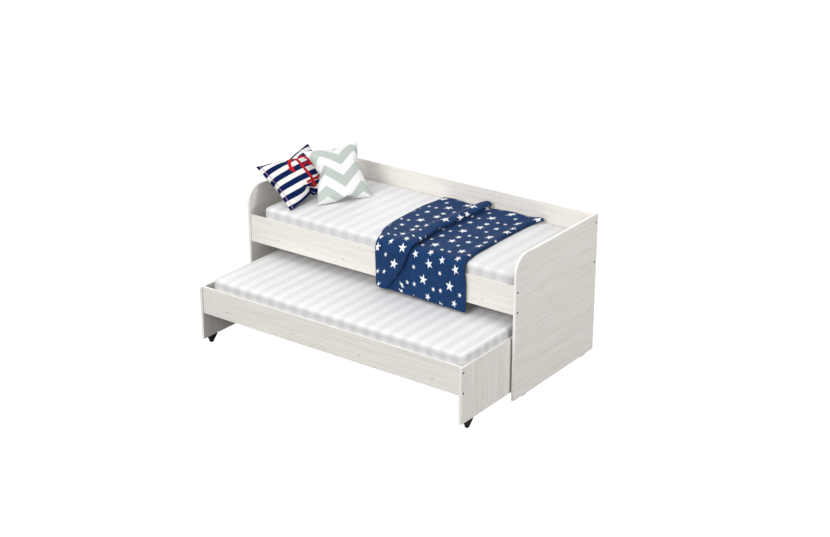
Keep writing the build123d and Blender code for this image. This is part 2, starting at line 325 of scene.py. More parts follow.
def newPiece(name, bm, material, body, smooth=True):
    mesh = bpy.data.meshes.new(name)
    bm.to_mesh(mesh)
    bm.free()
    for face in mesh.polygons:
        face.use_smooth = smooth
    mesh.materials.append(material)
    piece = bpy.data.objects.new(name, mesh)
    scene.collection.objects.link(piece)
    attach(piece, body)
    return piece


def soften(piece):
    rounding = piece.modifiers.new("soften", "SUBSURF")
    rounding.levels = rounding.render_levels = 1


def cornersOf(verts):
    low = Vector([min(vert.co[axis] for vert in verts) for axis in range(3)])
    high = Vector([max(vert.co[axis] for vert in verts) for axis in range(3)])
    return low, high


def islandBoxes(node):
    bm = bmesh.new()  # the lowest and highest corner of each loose solid in a node
    bm.from_mesh(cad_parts[node].data)
    bmesh.ops.remove_doubles(bm, verts=bm.verts, dist=1e-6)
    left, boxes = set(bm.verts), []
    while left:
        group, edge = set(), [left.pop()]
        while edge:
            vert = edge.pop()
            group.add(vert)
            near = {link.other_vert(vert) for link in vert.link_edges} & left
            left -= near
            edge += near
        boxes.append(cornersOf(group))
    bm.free()
    return sorted(boxes, key=lambda box: tuple(box[0]))


def spunForm(bm, profile, steps, place):
    before = set(bm.verts)  # profile of radius and height, turned about the local Z axis
    line = [bm.verts.new((radius, 0.0, height)) for radius, height in profile]
    edges = [bm.edges.new(pair) for pair in zip(line, line[1:])]
    bmesh.ops.spin(
        bm, geom=line + edges, cent=(0.0, 0.0, 0.0), axis=(0.0, 0.0, 1.0), angle=2 * math.pi, steps=steps,
        use_merge=True, use_duplicate=False,
    )
    made = [vert for vert in bm.verts if vert not in before]
    bmesh.ops.remove_doubles(bm, verts=made, dist=1e-6)
    made = [vert for vert in bm.verts if vert not in before]
    bmesh.ops.transform(bm, matrix=place, verts=made)


def facing(point, direction):
    turn = Vector(direction).to_track_quat("Z", "Y").to_matrix().to_4x4()
    return Matrix.Translation(point) @ turn


def sharpen(piece, degrees):
    piece.data.set_sharp_from_angle(angle=math.radians(degrees))


# moulded caps over the end screws: a low dome with a thin foot
screwCap = {
    "profile": ((0.0, 0.00118), (0.0020, 0.00114), (0.0038, 0.00098), (0.0051, 0.00072), (0.0060, 0.00042),
                (0.0064, 0.00018), (0.0065, 0.0), (0.0, 0.0)),
    "steps": 28,
}


def makeCaps(name, node, body, spec):
    bm = bmesh.new()
    for low, high in islandBoxes(node):
        middle = (low + high) / 2
        side = 1.0 if middle.x > 0 else -1.0
        foot = Vector((low.x if side > 0 else high.x, middle.y, middle.z))
        spunForm(bm, spec["profile"], spec["steps"], facing(foot, (side, 0.0, 0.0)))
    bmesh.ops.recalc_face_normals(bm, faces=bm.faces)
    piece = newPiece(name, bm, hard["capPlastic"], body)
    sharpen(piece, 50)
    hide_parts(node)


# countersunk screws that hold the base boards: a flat head with a cross, on a plain shank
baseScrew = {
    "head": 0.0034, "bevel": 0.0003, "cone": 0.0026, "shank": 0.0019, "length": 0.049, "tip": 0.006,
    "crossReach": 0.0021, "crossHalf": 0.00045, "crossDepth": 0.0012,
}


def crossHead(bm, spec, place):
    reach, half = spec["crossReach"], spec["crossHalf"]
    quarter = [(reach, -half), (reach, half), (half, half)]
    cross = [Matrix.Rotation(math.pi / 2 * turn, 2) @ Vector(point) for turn in range(4) for point in quarter]
    rings = [
        [(x, y, -spec["crossDepth"]) for x, y in cross],
        [(x, y, 0.0) for x, y in cross],
        [(*(point.normalized() * (spec["head"] - spec["bevel"])), 0.0) for point in cross],
        [(*(point.normalized() * spec["head"]), -spec["bevel"]) for point in cross],
        [(*(point.normalized() * spec["shank"]), -spec["cone"]) for point in cross],
        [(*(point.normalized() * spec["shank"]), spec["tip"] - spec["length"]) for point in cross],
        [(*(point.normalized() * spec["shank"] * 0.1), -spec["length"]) for point in cross],
    ]
    rows = [[bm.verts.new(place @ Vector(point)) for point in ring] for ring in rings]
    bm.faces.new(rows[0])
    bm.faces.new(list(reversed(rows[-1])))
    for row, after in zip(rows, rows[1:]):
        for index in range(len(row)):
            other = (index + 1) % len(row)
            bm.faces.new((row[index], row[other], after[other], after[index]))


def makeBaseScrews(name, node, body, spec):
    bm = bmesh.new()
    boxes = islandBoxes(node)
    middleY = sum((low.y + high.y) / 2 for low, high in boxes) / len(boxes)
    for low, high in boxes:
        middle = (low + high) / 2
        side = -1.0 if middle.y < middleY else 1.0
        head = Vector((middle.x, low.y if side < 0 else high.y, middle.z))
        crossHead(bm, spec, facing(head, (0.0, side, 0.0)))
    bmesh.ops.recalc_face_normals(bm, faces=bm.faces)
    piece = newPiece(name, bm, hard["blackSteel"], body)
    sharpen(piece, 30)
    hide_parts(node)


# caster wheels: a rounded tread, a sunk web with ribs and a hub round the axle
casterWheel = {
    "profile": ((0.00256, 0.0069), (0.0050, 0.0069), (0.0055, 0.0064), (0.0058, 0.0048), (0.0126, 0.0048),
                (0.0131, 0.0062), (0.0138, 0.0068), (0.0156, 0.0069), (0.0167, 0.0062), (0.0173, 0.0050),
                (0.0175, 0.0034)),
    "steps": 48,
    "ribs": 6,
    "rib": (0.0052, 0.0130, 0.0008, 0.0062),  # from, to, half width, height
}


def makeWheel(name, node, body, spec):
    low, high = (Vector(corner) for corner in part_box(node))
    middle = (low + high) / 2
    place = facing(middle, (1.0, 0.0, 0.0))
    half = list(spec["profile"])
    ring = half + [(radius, -height) for radius, height in reversed(half)] + half[:1]
    bm = bmesh.new()
    spunForm(bm, ring, spec["steps"], place)
    start, end, wide, tall = spec["rib"]
    for index in range(spec["ribs"]):
        turn = Matrix.Rotation(2 * math.pi * index / spec["ribs"], 4, "Z")
        made = bmesh.ops.create_cube(bm, size=1.0)["verts"]
        shape = Matrix.Diagonal((end - start, 2 * wide, 2 * tall, 1.0))
        move = Matrix.Translation(((start + end) / 2, 0.0, 0.0))
        bmesh.ops.transform(bm, matrix=place @ turn @ move @ shape, verts=made)
    bmesh.ops.recalc_face_normals(bm, faces=bm.faces)
    piece = newPiece(name, bm, hard["wheelNylon"], body)
    sharpen(piece, 32)
    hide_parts(node)


# caster hoods: the moulded shell with its edges broken
casterHood = {"bevel": 0.0007, "segments": 2, "angle": 40}


def makeHood(name, node, body, spec):
    bm = bmesh.new()
    bm.from_mesh(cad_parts[node].data)
    bmesh.ops.remove_doubles(bm, verts=bm.verts, dist=1e-6)
    bmesh.ops.dissolve_limit(bm, angle_limit=math.radians(0.5), verts=bm.verts, edges=bm.edges)
    piece = newPiece(name, bm, hard["casterPlastic"], body)
    sharpen(piece, spec["angle"])
    edges = piece.modifiers.new("brokenEdges", "BEVEL")
    edges.width, edges.segments = spec["bevel"], spec["segments"]
    edges.limit_method, edges.angle_limit = "ANGLE", math.radians(spec["angle"])
    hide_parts(node)


makeCaps("endScrewCaps", "end_screw_caps", "upper_bed", screwCap)
makeCaps("lowerEndScrewCaps", "lower_end_screw_caps", "lower_bed", screwCap)
makeBaseScrews("baseScrews", "base_screws", "upper_bed", baseScrew)
makeBaseScrews("lowerBaseScrews", "lower_base_screws", "lower_bed", baseScrew)
for row in ("front", "rear"):
    for side in ("left", "right"):
        corner, label = f"{row}_{side}", row + side.title()
        makeWheel(label + "Wheel", corner + "_caster_wheel", corner + "_wheel", casterWheel)
        makeHood(label + "Hood", corner + "_caster_hood", "lower_bed", casterHood)
print("fittings made")


# mattresses: foam blocks in a satin-striped cover
mattressCover = {
    "period": 0.086,
    "firstStripe": -0.798,  # metres along the bed
    "white": (0.740, 0.740, 0.740),
    "satin": (0.655, 0.656, 0.659),
    "thread": (0.710, 0.711, 0.713),
    "threads": 2600.0,
    # painted shade: the cover's sides are darkened to this share of their colour, as if lit less than the top
    "borderPaintedShade": 0.81,
    "proud": 0.014,  # how far the filled top stands above the plain solid
    "leftBulge": 0.015,
    "corner": 0.046,
    "edge": 0.026,
    "step": 0.045,
    "cutRoom": 0.004,  # from the rounding to the first cut
    "edgeDrop": 0.004,
    "edgeReach": 0.20,  # how far in from the rim the top sinks
    "ripple": 0.0014,
    "paintedLitRamp": (1.9, -0.85),  # painted light: from the upward part of the normal, 0 on the border (full painted shade), 1 on top (full colour)
    "borderSlope": 0.75,  # faces steeper than this carry the border's stripes
}


def makeMattressCover(name, spec):
    material, tree, shader = startMaterial(name, 0.75, **{"Sheen Weight": 0.02, "Specular IOR Level": 0.20})
    along, across = splitFlat(tree)
    share = calc(tree, "DIVIDE", calc(tree, "SUBTRACT", along, spec["firstStripe"]), spec["period"])
    share = calc(tree, "FRACT", share)
    band = gapFrom(tree, share, 0.5)  # 0 in the middle of the satin stripe
    satin = rampBetween(tree, band, 0.255, 0.235)
    threads = gapFrom(tree, band, 0.36)
    threadMask = rampBetween(tree, threads, 0.045, 0.03)
    colour = mixColours(tree, threadMask, spec["white"], spec["thread"])
    colour = mixColours(tree, satin, colour, spec["satin"])
    cloud = noiseField(tree, objectSpace(tree), (9.0, 9.0, 9.0), 3.0, 0.55)
    colour = mixColours(tree, rampBetween(tree, cloud, 0.3, 0.75, 0.0, 0.10), colour, (0.60, 0.61, 0.63))
    # painted shade: a darkened copy of the cover colour for the sides, blended into the full colour on top by
    # the upward part of the normal, as if the top caught more light
    shade = {0: colour, 1: (spec["borderPaintedShade"],) * 3}
    paintedShadeBorder = addNode(tree, "ShaderNodeVectorMath", shade, operation="MULTIPLY").outputs[0]
    paintedLitShare = addNode(tree, "ShaderNodeAttribute", attribute_name="paintedLitShare").outputs["Fac"]
    colour = mixColours(tree, paintedLitShare, paintedShadeBorder, colour)
    tree.links.new(colour, shader.inputs["Base Color"])
    tree.links.new(rampBetween(tree, satin, 0.0, 1.0, 0.82, 0.60), shader.inputs["Roughness"])
    woven = weave(tree, along, across, spec["threads"])
    lift = calc(tree, "ADD", calc(tree, "MULTIPLY", woven, 0.25), calc(tree, "MULTIPLY", satin, 0.6))
    addBump(tree, shader, lift, 0.25, 0.0004)
    return material


def perimeterPlace(point, low, high, corner):
    x, y = point.x, point.y  # along the front, then round the corner and along the end
    for end, sign in ((high.x, 1.0), (low.x, -1.0)):
        if sign * (x - end) > -corner:
            for side, turn in ((low.y, 1.0), (high.y, -1.0)):
                if turn * (y - side) < corner:
                    centre = Vector((end - sign * corner, side + turn * corner))
                    angle = math.atan2(sign * (x - centre.x), turn * (centre.y - y))
                    return centre.x + sign * corner * max(0.0, min(angle, math.pi / 2))
            return end - sign * corner + sign * (corner * math.pi / 2 + (y - low.y - corner))
    return x


def makeMattress(name, node, material, body, spec):
    low, high = (Vector(corner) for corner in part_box(node))
    low.x -= spec["leftBulge"]
    high.z += spec["proud"]
    middle, size = (low + high) / 2, high - low
    bm = bmesh.new()
    bmesh.ops.create_cube(bm, size=1.0)
    bmesh.ops.scale(bm, vec=size, verts=bm.verts)
    bmesh.ops.translate(bm, vec=middle, verts=bm.verts)
    upright = [edge for edge in bm.edges if abs(edge.verts[0].co.z - edge.verts[1].co.z) > size.z / 2]
    bmesh.ops.bevel(
        bm, geom=upright, offset=spec["corner"], segments=8, profile=0.5, affect="EDGES", material=-1,
    )
    rims = [edge for edge in bm.edges if abs(edge.verts[0].co.z - edge.verts[1].co.z) < 1e-6]
    bmesh.ops.bevel(bm, geom=rims, offset=spec["edge"], segments=6, profile=0.5, affect="EDGES", material=-1)
    for axis, start, end in ((0, low.x, high.x), (1, low.y, high.y), (2, low.z, high.z)):
        inset = (spec["corner"] if axis < 2 else spec["edge"]) + spec["cutRoom"]
        count = max(3, round((end - start - 2 * inset) / spec["step"]))
        for index in range(count + 1):
            cut = Vector((0.0, 0.0, 0.0))
            cut[axis] = start + inset + (end - start - 2 * inset) * index / count
            normal = Vector((0.0, 0.0, 0.0))
            normal[axis] = 1.0
            geom = bm.verts[:] + bm.edges[:] + bm.faces[:]
            bmesh.ops.bisect_plane(bm, geom=geom, plane_co=cut, plane_no=normal)
    bmesh.ops.recalc_face_normals(bm, faces=bm.faces)
    bm.normal_update()
    flat = bm.loops.layers.uv.new("flat")
    for face in bm.faces:
        side = abs(face.normal.z) < spec["borderSlope"]
        for loop in face.loops:
            place = loop.vert.co
            border = (perimeterPlace(place, low, high, spec["corner"]), place.z)
            loop[flat].uv = border if side else (place.x, place.y)
    # painted light: from its normal, each vertex gets its share of the lit top colour; the rest is the
    # painted shade of the sides
    paintedLitShare = bm.verts.layers.float.new("paintedLitShare")
    rate, start = spec["paintedLitRamp"]
    for vert in bm.verts:
        vert[paintedLitShare] = max(0.0, min(1.0, rate * vert.normal.z + start))
    for vert in bm.verts:
        place = vert.co
        inside = min(place.x - low.x, high.x - place.x, place.y - low.y, high.y - place.y)
        share = max(0.0, min(1.0, inside / spec["edgeReach"]))
        top = max(0.0, (place.z - middle.z) / (size.z / 2))
        ripple = noise.noise(Vector((place.x * 6.0, place.y * 6.0, place.z * 9.0)))
        place.z -= top * spec["edgeDrop"] * (1.0 - share) ** 2
        place.z += top * spec["ripple"] * (ripple - 0.6)
    piece = newPiece(name, bm, material, body)
    soften(piece)
    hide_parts(node)


coverMaterial = makeMattressCover("stripedMattressCover", mattressCover)
makeMattress("upperMattress", "upper_mattress", coverMaterial, "upper_bed", mattressCover)
makeMattress("lowerMattress", "lower_mattress", coverMaterial, "lower_bed", mattressCover)
print("mattresses made")


# throw: navy cloth with white stars, over the front edge of the upper bed
starThrow = {
    "columns": 150,
    "rows": 190,
    "thickness": 0.0035,
    "backY": 0.6040,
    "bendY": -0.1385,
    "bend": 0.0520,
    "lift": 0.0014,
    "foot": (0.4705, 0.4580),  # height of the lower hem at its left and right end
    "ripple": 0.0016,
    "waves": ((1.0, 8.0, 6.0, 3.0), (0.5, 22.0, 15.0, 7.0)),  # share, waves along and down the cloth, seed
    "lowerPlace": 1.075,  # place among the stations at the lower hem
    "flank": 0.085,  # width of the slope left of the crest
    "rightHem": {"top": 0.012, "hang": 0.005, "from": 0.75},  # how far the right hem stands up
    # distance from the back hem, then places along the bed of the left hem, the crest of the long fold, its
    # right edge, the turn under it and the right hem, then the height of the fold and the billow left of it
    "stations": (
        (0.000, -0.074, 0.232, 0.269, 0.256, 0.640, 0.045, 0.000),
        (0.070, -0.084, 0.228, 0.265, 0.252, 0.604, 0.046, 0.000),
        (0.200, -0.099, 0.220, 0.258, 0.246, 0.597, 0.046, 0.001),
        (0.360, -0.090, 0.210, 0.250, 0.234, 0.594, 0.046, 0.002),
        (0.520, -0.078, 0.192, 0.239, 0.214, 0.599, 0.043, 0.005),
        (0.660, -0.048, 0.190, 0.254, 0.200, 0.602, 0.038, 0.009),
        (0.770, 0.004, 0.178, 0.258, 0.170, 0.618, 0.033, 0.012),
        (0.890, 0.012, 0.142, 0.219, 0.134, 0.634, 0.027, 0.012),
        (0.985, 0.014, 0.095, 0.158, 0.082, 0.635, 0.022, 0.010),
        (1.080, 0.014, 0.054, 0.088, 0.038, 0.635, 0.017, 0.006),
    ),
    # how far the back hem stands up in waves, by place along the bed
    "backRise": ((-0.08, 0.004), (0.007, 0.010), (0.07, 0.004), (0.21, 0.000), (0.32, 0.010), (0.42, 0.014),
                 (0.48, 0.013), (0.56, 0.010), (0.62, 0.012)),
    "backReach": 0.13,
    "navy": (0.0095, 0.0395, 0.122),
    "navyDark": (0.0065, 0.0300, 0.097),
    "white": (0.80, 0.81, 0.83),
    "hem": 0.013,  # from the edge to the row of stitches
    "plainHem": 0.007,  # edge that the print leaves out
    "repeat": (0.183, 0.270),
    "rowShift": 0.014,
    "firstStar": (-0.290, -0.9455),
    # place in the repeat, radius, turn
    "stars": (
        (0.000, 0.000, 0.0345, 0.94),
        (0.048, 0.102, 0.0310, 0.70),
        (0.033, -0.100, 0.0240, 1.10),
        (0.135, 0.140, 0.0240, 0.55),
        (0.072, -0.045, 0.0165, 0.90),
        (0.121, -0.042, 0.0165, 0.75),
        (0.118, 0.062, 0.0165, 1.20),
    ),
    "twist": 0.3,  # most that a star is turned by chance
    "innerShare": 0.38,
    "narrow": 0.86,  # width of a star to its height
}


def alongList(rows, place):
    place = min(max(place, rows[0][0]), rows[-1][0])  # a smooth line through the rows
    ends = rows[:1] + rows + rows[-1:]
    for before, first, second, after in zip(ends, ends[1:], ends[2:], ends[3:]):
        if place <= second[0]:
            span = second[0] - first[0]
            t = (place - first[0]) / span
            ease = t * t * (3 - 2 * t)
            values = []
            for a, b, c, d in zip(before[1:], first[1:], second[1:], after[1:]):
                startSlope = (c - a) / (second[0] - before[0]) * span
                endSlope = (d - b) / (after[0] - first[0]) * span
                values.append(b + (c - b) * ease + t * (1 - t) * (startSlope * (1 - t) - endSlope * t))
            return values


def smoothThrough(points, count):
    fine = []  # a Catmull-Rom line through the points, then even steps along it
    ends = [2 * points[0] - points[1]] + points + [2 * points[-1] - points[-2]]
    for before, start, end, after in zip(ends, ends[1:], ends[2:], ends[3:]):
        for step in range(16):
            t = step / 16
            fine.append(
                0.5 * (2 * start + (end - before) * t + (2 * before - 5 * start + 4 * end - after) * t ** 2
                       + (3 * start - before - 3 * end + after) * t ** 3)
            )
    fine.append(points[-1])
    lengths = [0.0]
    for first, second in zip(fine, fine[1:]):
        lengths.append(lengths[-1] + (second - first).length)
    even, index = [], 0
    for step in range(count + 1):
        target = lengths[-1] * step / count
        while index < len(fine) - 2 and lengths[index + 1] < target:
            index += 1
        span = max(1e-9, lengths[index + 1] - lengths[index])
        even.append(fine[index].lerp(fine[index + 1], (target - lengths[index]) / span))
    return even


def throwSection(place, spec):
    left, crest, edge, turn, right, height, billow = alongList(spec["stations"], place)
    flank = max(left + 0.3 * (crest - left), crest - spec["flank"])
    hem = spec["rightHem"]["top"] if place < spec["rightHem"]["from"] else spec["rightHem"]["hang"]
    points = [
        (left, 0.4 * billow),
        (0.5 * (left + flank), billow),
        (flank, billow + 0.06 * height),
        (0.5 * (flank + crest), 0.62 * height + 0.4 * billow),
        (crest, height),
        (0.5 * (crest + edge), 0.97 * height),
        (edge - 0.004, 0.82 * height),
        (edge, 0.64 * height),
        (edge - 0.006, 0.47 * height),
        (0.5 * (edge + turn), 0.40 * height),
        (turn + 0.003, 0.28 * height),
        (turn, 0.16 * height),
        (turn + 0.010, 0.03 * height),
        (0.5 * (edge + turn) + 0.035, 0.0),
        (0.34, 0.001),
        (0.42, 0.002),
        (0.52, 0.002),
        (right - 0.034, hem),
        (right - 0.012, 1.15 * hem),
        (right - 0.003, 0.75 * hem),
        (right, 0.0),
    ]
    return smoothThrough([Vector(point) for point in points], spec["columns"])


def drapePoint(across, out, place, top, spec):
    flatEnd = spec["backY"] - spec["bendY"]
    bendEnd = flatEnd + spec["bend"] * math.pi / 2
    if place <= flatEnd:
        return Vector((across, spec["backY"] - place, top + out))
    if place <= bendEnd:
        angle = (place - flatEnd) / spec["bend"]
        reach = spec["bend"] + out
        low = top - spec["bend"]
        return Vector((across, spec["bendY"] - reach * math.sin(angle), low + reach * math.cos(angle)))
    return Vector((across, spec["bendY"] - spec["bend"] - out, top - spec["bend"] - (place - bendEnd)))


printBlur = 0.0005  # half the soft edge of a printed figure


def starMask(tree, along, across, spec, star):
    wide, tall = spec["repeat"]
    startX, startY = (first + step for first, step in zip(spec["firstStar"], star))
    radius, turn = star[2:]
    y = calc(tree, "SUBTRACT", across, startY)
    row = calc(tree, "ROUND", calc(tree, "DIVIDE", y, tall))
    y = calc(tree, "SUBTRACT", y, calc(tree, "MULTIPLY", row, tall))
    x = calc(tree, "SUBTRACT", along, startX)
    x = calc(tree, "SUBTRACT", x, calc(tree, "MULTIPLY", row, spec["rowShift"]))
    column = calc(tree, "ROUND", calc(tree, "DIVIDE", x, wide))
    x = calc(tree, "DIVIDE", calc(tree, "SUBTRACT", x, calc(tree, "MULTIPLY", column, wide)), spec["narrow"])
    cell = addNode(tree, "ShaderNodeCombineXYZ", {0: row, 1: column, 2: turn}).outputs[0]
    chance = addNode(tree, "ShaderNodeTexWhiteNoise", {"Vector": cell}).outputs["Value"]
    twist = calc(tree, "ADD", calc(tree, "MULTIPLY", chance, spec["twist"]), turn)
    angle = calc(tree, "ADD", calc(tree, "ARCTAN2", y, x), twist)
    fifth = 2 * math.pi / 5
    folded = calc(tree, "FLOORED_MODULO", calc(tree, "ADD", angle, fifth / 2), fifth)
    folded = gapFrom(tree, folded, fifth / 2)
    far = reachOf(tree, x, y)
    inner = spec["innerShare"]
    slope = Vector((inner * math.sin(fifth / 2), 1 - inner * math.cos(fifth / 2))).normalized()
    outward = calc(tree, "MULTIPLY", far, calc(tree, "COSINE", folded))
    sideways = calc(tree, "MULTIPLY", far, calc(tree, "SINE", folded))
    level = calc(tree, "MULTIPLY", outward, slope.x)
    level = calc(tree, "ADD", level, calc(tree, "MULTIPLY", sideways, slope.y))
    return rampBetween(tree, level, radius * slope.x + printBlur, radius * slope.x - printBlur)


def makeStarCloth(name, spec):
    material, tree, shader = startMaterial(name, 0.92, **{"Sheen Weight": 0.04, "Specular IOR Level": 0.12})
    along, across = splitFlat(tree)
    masks = [starMask(tree, along, across, spec, star) for star in spec["stars"]]
    stars = masks[0]
    for mask in masks[1:]:
        stars = calc(tree, "MAXIMUM", stars, mask)
    hemGap = addNode(tree, "ShaderNodeAttribute", attribute_name="hemGap").outputs["Fac"]
    inside = rampBetween(tree, hemGap, spec["plainHem"] - 2 * printBlur, spec["plainHem"])
    stars = calc(tree, "MULTIPLY", stars, inside)
    nap = noiseField(tree, objectSpace(tree), (520.0, 520.0, 520.0), 3.0, 0.6)
    cloud = noiseField(tree, objectSpace(tree), (14.0, 14.0, 14.0), 3.0, 0.55)
    shade = calc(tree, "ADD", calc(tree, "MULTIPLY", nap, 0.5), calc(tree, "MULTIPLY", cloud, 0.5))
    colour = mixColours(tree, rampBetween(tree, shade, 0.35, 0.65), spec["navy"], spec["navyDark"])
    colour = mixColours(tree, stars, colour, spec["white"])
    tree.links.new(colour, shader.inputs["Base Color"])
    stitches = gapFrom(tree, hemGap, spec["hem"])
    groove = rampBetween(tree, stitches, 0.0016, 0.0005)
    addBump(tree, shader, calc(tree, "SUBTRACT", nap, groove), 0.35, 0.0008)
    return material


def makeThrow(name, node, body, spec):
    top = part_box("upper_mattress")[1][2] + mattressCover["proud"] + spec["lift"]
    bendStart = spec["backY"] - spec["bendY"]
    bm = bmesh.new()
    hemGap = bm.verts.layers.float.new("hemGap")
    flat = bm.loops.layers.uv.new("flat")
    bmesh.ops.create_grid(bm, x_segments=spec["columns"], y_segments=spec["rows"], size=0.5)
    grid = {}
    for vert in bm.verts:
        column = round((vert.co.x + 0.5) * spec["columns"])
        row = round((0.5 - vert.co.y) * spec["rows"])
        grid[column, row] = vert
    flatPlace = {}
    lengths = []
    leftFoot, rightFoot = spec["foot"]
    for row in range(spec["rows"] + 1):
        share = row / spec["rows"]
        section = throwSection(share * spec["lowerPlace"], spec)
        for column, (across, out) in enumerate(section):
            foot = leftFoot + (rightFoot - leftFoot) * column / spec["columns"]
            total = bendStart + spec["bend"] * math.pi / 2 + top - spec["bend"] - foot
            place = share * total
            rise = alongList(spec["backRise"], across)[0] * max(0.0, 1.0 - place / spec["backReach"]) ** 2
            ripple = 0.0
            for part, wide, long, seed in spec["waves"]:
                ripple += part * noise.noise(Vector((across * wide, place * long, seed)))
            out += rise + spec["ripple"] * max(0.0, ripple + 0.5)
            grid[column, row].co = drapePoint(across, out, place, top, spec)
        run = 0.0
        for column in range(spec["columns"], -1, -1):
            if column < spec["columns"]:
                run += (grid[column, row].co - grid[column + 1, row].co).length
            flatPlace[column, row] = [-run, 0.0]
        lengths.append(run)
    longs = []
    for column in range(spec["columns"] + 1):
        run = 0.0
        for row in range(1, spec["rows"] + 1):
            run += (grid[column, row].co - grid[column, row - 1].co).length
            flatPlace[column, row][1] = -run
        longs.append(run)
    where = {vert: flatPlace[key] for key, vert in grid.items()}
    for (column, row), vert in grid.items():
        left, down = flatPlace[column, row]
        vert[hemGap] = min(-left, lengths[row] + left, -down, longs[column] + down)
    bmesh.ops.recalc_face_normals(bm, faces=bm.faces)
    if sum(face.normal.z for face in bm.faces) < 0:
        bmesh.ops.reverse_faces(bm, faces=bm.faces)
    for face in bm.faces:
        for loop in face.loops:
            loop[flat].uv = where[loop.vert]
    piece = newPiece(name, bm, makeStarCloth("starCloth", spec), body)
    wall = piece.modifiers.new("clothThickness", "SOLIDIFY")
    wall.thickness, wall.offset = spec["thickness"], 1.0
    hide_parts(node)
    wide, long = sum(lengths) / len(lengths), sum(longs) / len(longs)
    print("throw made, flat", round(wide, 3), round(long, 3))


makeThrow("starThrow", "throw", "upper_bed", starThrow)


# pillows: two flat panels sewn together and blown up as cloth, then leaned in place
stripedPillow = {
    "width": 0.450, "depth": 0.333, "thickness": 0.130, "lean": 41.0, "turn": 8.0, "roll": 6.5,
    "centre": (-0.8103, 0.1123), "sink": 0.004, "slump": 0.01, "swell": (1.04, 1.07), "cells": (46, 34),
    "fuller": (0.020, 0.050),  # cloth let out at the upper and lower side
    "ear": (0.0, 0.0),  # pull on the upper left corner
    "period": 0.0600, "navyShare": 0.52, "stripeBlur": 0.012,
    "navy": (0.0015, 0.011, 0.066), "cream": (0.72, 0.71, 0.68),
    "red": (0.42, 0.009, 0.015), "blue": (0.28, 0.42, 0.62),
    "trimInset": 0.024, "trimGap": 0.0018, "trimHalf": (0.0012, 0.2),
    "worn": 0.012, "wornTo": (0.40, 0.40, 0.42),
    "anchor": (0.015, 0.003), "anchorSize": 1.25, "backShift": 1.0,  # past the anchor and the trim
}
zigzagPillow = {
    "width": 0.347, "depth": 0.347, "thickness": 0.134, "lean": 59.0, "turn": 27.0, "roll": 0.0,
    "centre": (-0.6111, 0.2505), "sink": 0.004, "slump": 0.06, "swell": (1.04, 1.04), "cells": (38, 38),
    "fuller": (0.0, 0.036), "ear": (-0.036, -0.010),
    "wave": 0.2147, "firstPeak": 0.0650, "swing": 0.0738, "period": 0.1145, "firstEdge": 0.0690,
    "grey": (0.422, 0.466, 0.434), "white": (0.72, 0.72, 0.72), "backShift": 0.0,
    "worn": 0.08, "wornTo": (0.45, 0.46, 0.46),
}


# how both pillows are sewn, blown up and set down
pillowMaking = {
    "cut": 1.04,  # panels against the finished size
    "firstRise": 0.02,
    "quickRise": 2.5,
    "frames": 24,
    "pressure": 6.5,
    "letOut": 1.3,
    "restGap": 0.0006,  # to the mattress
    "pressGap": 0.0012,  # to the other pillow
    "pressReach": 0.08,
    "pressRounds": 4,
}
canvasWeave = {"threads": 3600.0, "bump": 0.30, "depth": 0.0004}


def sewnPanels(spec, making):
    across, down = spec["cells"]
    width, depth = spec["width"] * making["cut"], spec["depth"] * making["cut"]
    bm = bmesh.new()
    flat = bm.loops.layers.uv.new("flat")
    for side in (1.0, -1.0):
        before = set(bm.verts)
        bmesh.ops.create_grid(bm, x_segments=across, y_segments=down, size=0.5)
        panel = [vert for vert in bm.verts if vert not in before]
        faces = {face for vert in panel for face in vert.link_faces}
        for face in faces:
            for loop in face.loops:
                back = spec["backShift"] if side < 0 else 0.0
                loop[flat].uv = (loop.vert.co.x * spec["width"] * side + back, loop.vert.co.y * spec["depth"])
        for vert in panel:
            x, y = vert.co.x, vert.co.y
            rise = (1 - (2 * x) ** 4) * (1 - (2 * y) ** 4)
            vert.co = Vector((x * width, y * depth, side * making["firstRise"] * rise))
        if side < 0:
            bmesh.ops.reverse_faces(bm, faces=list(faces))
    bmesh.ops.remove_doubles(bm, verts=bm.verts, dist=1e-5)
    return bm


def blowUp(name, bm, making):
    mesh = bpy.data.meshes.new(name + "Panels")
    bm.to_mesh(mesh)
    bm.free()
    panels = bpy.data.objects.new(name + "Panels", mesh)
    scene.collection.objects.link(panels)
    cloth = panels.modifiers.new("blowUp", "CLOTH")
    cloth.settings.quality = 7
    cloth.settings.mass = 0.25
    cloth.settings.tension_stiffness = cloth.settings.compression_stiffness = 25.0
    cloth.settings.shear_stiffness = 12.0
    cloth.settings.bending_stiffness = 0.8
    cloth.settings.air_damping = 4.0
    cloth.settings.use_pressure = True
    cloth.settings.uniform_pressure_force = making["pressure"]
    cloth.settings.effector_weights.gravity = 0.0
    cloth.collision_settings.use_collision = False
    for step in range(1, making["frames"] + 1):
        scene.frame_set(step)
    seen = panels.evaluated_get(bpy.context.evaluated_depsgraph_get())
    blown = bmesh.new()
    blown.from_mesh(seen.to_mesh())
    seen.to_mesh_clear()
    scene.frame_set(1)
    bpy.data.objects.remove(panels)
    return blown


def pressOff(bm, tree, making):
    room, rounds = making["pressGap"], making["pressRounds"]
    for step in range(rounds):  # the touching side is pushed out and evened in turn
        pushed = set()
        for vert in bm.verts:
            near, normal, _, gap = tree.find_nearest(vert.co)
            if gap < making["pressReach"] and (vert.co - near).dot(normal) < room:
                vert.co = near + normal * room
                pushed.add(vert)
        if step < rounds - 1:
            ring = {link.other_vert(vert) for vert in pushed for link in vert.link_edges}
            bmesh.ops.smooth_vert(
                bm, verts=list(pushed | ring), factor=0.5, use_axis_x=True, use_axis_y=True, use_axis_z=True,
            )


